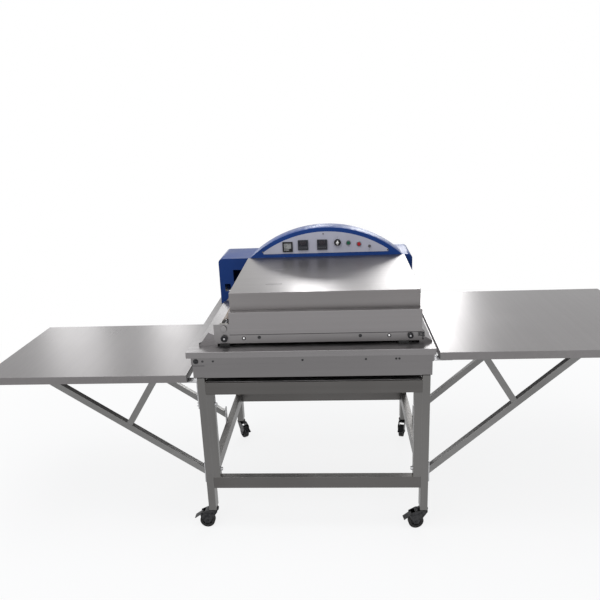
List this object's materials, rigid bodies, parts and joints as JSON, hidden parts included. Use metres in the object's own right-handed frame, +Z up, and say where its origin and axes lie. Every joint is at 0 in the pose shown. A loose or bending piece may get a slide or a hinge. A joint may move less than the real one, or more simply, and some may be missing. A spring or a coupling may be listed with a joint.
{
  "type": "continuous fusing press",
  "caption": "Belt-fed heat fusing press under a sheet-steel hood with an arched control panel, on a wheeled stand with infeed and delivery tables.",
  "frame": {"origin": "on the floor, in the middle of the whole outline seen from above", "axes": "+X along the belts towards the infeed table, +Y from the operator to the back, +Z up"},
  "size_m": [2.706, 0.899, 1.153],
  "materials": {
    "brushed_stand": "satin brushed stainless tube and sheet",
    "polished_sheet": "smooth bright stainless sheet",
    "blue_paint": "semi-gloss blue stove enamel",
    "panel_grey": "matt light grey overlay",
    "black_plastic": "fine texture",
    "black_rubber": "matt",
    "zinc": "zinc plated",
    "belt_cloth": "coated glass cloth",
    "platen_metal": "machined",
    "roller_metal": "ground",
    "gear_steel": "oiled",
    "motor_paint": "satin",
    "green_plastic": "gloss",
    "red_plastic": "gloss",
    "meter_glass": "clear"
  },
  "bodies": {
    "root": {"ammeter_case": "black_plastic", "ammeter_window": "meter_glass", "back_panel": "blue_paint", "base_cabinet": "brushed_stand", "cabinet_screws": "zinc", "cable_gland": "black_plastic", "castor_stems": "zinc", "control_hood": "blue_paint", "control_panel": "panel_grey", "deck_plate": "polished_sheet", "delivery_chute": "polished_sheet", "drive_motor": "motor_paint", "frame_plates": "brushed_stand", "front_cover": "polished_sheet", "heater_rods": "roller_metal", "hood_cover": "polished_sheet", "infeed_plate": "polished_sheet", "inner_posts": "brushed_stand", "left_table": "polished_sheet", "lower_belt": "belt_cloth", "lower_platen": "platen_metal", "machine_feet": "black_rubber", "panel_fittings": "zinc", "rear_housing": "blue_paint", "relay_rail": "black_plastic", "right_table": "polished_sheet", "roller_bearings": "gear_steel", "stand_bolts": "zinc", "stand_legs": "brushed_stand", "stand_rails": "brushed_stand", "temperature_controllers": "black_plastic", "upper_belt": "belt_cloth", "upper_platen": "platen_metal", "wing_braces": "brushed_stand", "wing_brackets": "zinc", "wing_struts": "brushed_stand"},
    "lower_drive": {"lower_drive_roller": "roller_metal", "lower_gear": "gear_steel"},
    "upper_drive": {"upper_drive_roller": "roller_metal", "upper_gear": "gear_steel"},
    "lower_idler": {"lower_idler_roller": "roller_metal"},
    "upper_idler": {"upper_idler_roller": "roller_metal"},
    "motor_shaft": {"motor_pinion": "gear_steel"},
    "needle": {"ammeter_needle": "black_plastic"},
    "knob": {"speed_knob": "black_plastic"},
    "green_push": {"green_button": "green_plastic"},
    "red_push": {"red_button": "red_plastic"},
    "toggle": {"toggle_lever": "zinc"},
    "swivel_front_left": {"castor_fork_front_left": "zinc"},
    "wheel_front_left": {"castor_wheel_front_left": "black_rubber"},
    "pedal_front_left": {"castor_pedal_front_left": "black_plastic"},
    "swivel_front_right": {"castor_fork_front_right": "zinc"},
    "wheel_front_right": {"castor_wheel_front_right": "black_rubber"},
    "pedal_front_right": {"castor_pedal_front_right": "black_plastic"},
    "swivel_rear_left": {"castor_fork_rear_left": "zinc"},
    "wheel_rear_left": {"castor_wheel_rear_left": "black_rubber"},
    "pedal_rear_left": {"castor_pedal_rear_left": "black_plastic"},
    "swivel_rear_right": {"castor_fork_rear_right": "zinc"},
    "wheel_rear_right": {"castor_wheel_rear_right": "black_rubber"},
    "pedal_rear_right": {"castor_pedal_rear_right": "black_plastic"}
  },
  "joints": [
    {"name": "lower_drive_spin", "type": "hinge", "parent": "root", "child": "lower_drive", "pos_m": [-0.374, -0.1455, 0.828], "axis": [0, 1, 0], "continuous": true},
    {"name": "upper_drive_spin", "type": "hinge", "parent": "root", "child": "upper_drive", "pos_m": [-0.374, -0.1455, 0.868], "axis": [0, 1, 0], "continuous": true},
    {"name": "lower_idler_spin", "type": "hinge", "parent": "root", "child": "lower_idler", "pos_m": [0.348, -0.1455, 0.828], "axis": [0, 1, 0], "continuous": true},
    {"name": "upper_idler_spin", "type": "hinge", "parent": "root", "child": "upper_idler", "pos_m": [0.348, -0.1455, 0.868], "axis": [0, 1, 0], "continuous": true},
    {"name": "motor_spin", "type": "hinge", "parent": "root", "child": "motor_shaft", "pos_m": [-0.406, -0.1455, 0.828], "axis": [0, 1, 0], "continuous": true},
    {"name": "needle_swing", "type": "hinge", "parent": "root", "child": "needle", "pos_m": [-0.1465, 0.2079, 1.0515], "axis": [0, 1, 0], "range_deg": [0, 90], "stiffness_Nm_per_rad": 0.0008},
    {"name": "knob_turn", "type": "hinge", "parent": "root", "child": "knob", "pos_m": [0.076, 0.21, 1.081], "axis": [0, 1, 0], "range_deg": [-135, 135]},
    {"name": "green_press", "type": "slide", "parent": "root", "child": "green_push", "axis": [0, 1, 0], "range_m": [0, 0.004], "stiffness_N_per_m": 400},
    {"name": "red_press", "type": "slide", "parent": "root", "child": "red_push", "axis": [0, 1, 0], "range_m": [0, 0.004], "stiffness_N_per_m": 400},
    {"name": "toggle_flip", "type": "hinge", "parent": "root", "child": "toggle", "pos_m": [0.225, 0.2062, 1.06], "axis": [-1, 0, 0], "range_deg": [0, 28]},
    {"name": "swivel_front_left_turn", "type": "hinge", "parent": "root", "child": "swivel_front_left", "pos_m": [-0.467, -0.4205, 0.084], "axis": [0, 0, 1], "continuous": true},
    {"name": "wheel_front_left_spin", "type": "hinge", "parent": "swivel_front_left", "child": "wheel_front_left", "pos_m": [-0.497, -0.4205, 0.0315], "axis": [0, -1, 0], "continuous": true},
    {"name": "pedal_front_left_press", "type": "hinge", "parent": "swivel_front_left", "child": "pedal_front_left", "pos_m": [-0.517, -0.4205, 0.064], "axis": [0, -1, 0], "range_deg": [0, 12]},
    {"name": "swivel_front_right_turn", "type": "hinge", "parent": "root", "child": "swivel_front_right", "pos_m": [0.403, -0.4205, 0.084], "axis": [0, 0, 1], "continuous": true},
    {"name": "wheel_front_right_spin", "type": "hinge", "parent": "swivel_front_right", "child": "wheel_front_right", "pos_m": [0.37329, -0.42468, 0.0315], "axis": [0.1392, -0.9903, 0], "continuous": true},
    {"name": "pedal_front_right_press", "type": "hinge", "parent": "swivel_front_right", "child": "pedal_front_right", "pos_m": [0.35349, -0.42746, 0.064], "axis": [0.1392, -0.9903, 0], "range_deg": [0, 12]},
    {"name": "swivel_rear_left_turn", "type": "hinge", "parent": "root", "child": "swivel_rear_left", "pos_m": [-0.467, 0.3555, 0.084], "axis": [0, 0, 1], "continuous": true},
    {"name": "wheel_rear_left_spin", "type": "hinge", "parent": "swivel_rear_left", "child": "wheel_rear_left", "pos_m": [-0.44979, 0.33093, 0.0315], "axis": [0.8192, 0.5736, 0], "continuous": true},
    {"name": "pedal_rear_left_press", "type": "hinge", "parent": "swivel_rear_left", "child": "pedal_rear_left", "pos_m": [-0.43832, 0.31454, 0.064], "axis": [0.8192, 0.5736, 0], "range_deg": [0, 12]},
    {"name": "swivel_rear_right_turn", "type": "hinge", "parent": "root", "child": "swivel_rear_right", "pos_m": [0.403, 0.3555, 0.084], "axis": [0, 0, 1], "continuous": true},
    {"name": "wheel_rear_right_spin", "type": "hinge", "parent": "swivel_rear_right", "child": "wheel_rear_right", "pos_m": [0.39524, 0.32652, 0.0315], "axis": [0.9659, -0.2588, 0], "continuous": true},
    {"name": "pedal_rear_right_press", "type": "hinge", "parent": "swivel_rear_right", "child": "pedal_rear_right", "pos_m": [0.39006, 0.3072, 0.064], "axis": [0.9659, -0.2588, 0], "range_deg": [0, 12]}
  ],
  "couplings": [
    {"joint": "upper_drive_spin", "follows": "lower_drive_spin", "ratio": -1},
    {"joint": "lower_idler_spin", "follows": "lower_drive_spin", "ratio": 1},
    {"joint": "upper_idler_spin", "follows": "lower_drive_spin", "ratio": -1},
    {"joint": "motor_spin", "follows": "lower_drive_spin", "ratio": -1.6667}
  ]
}
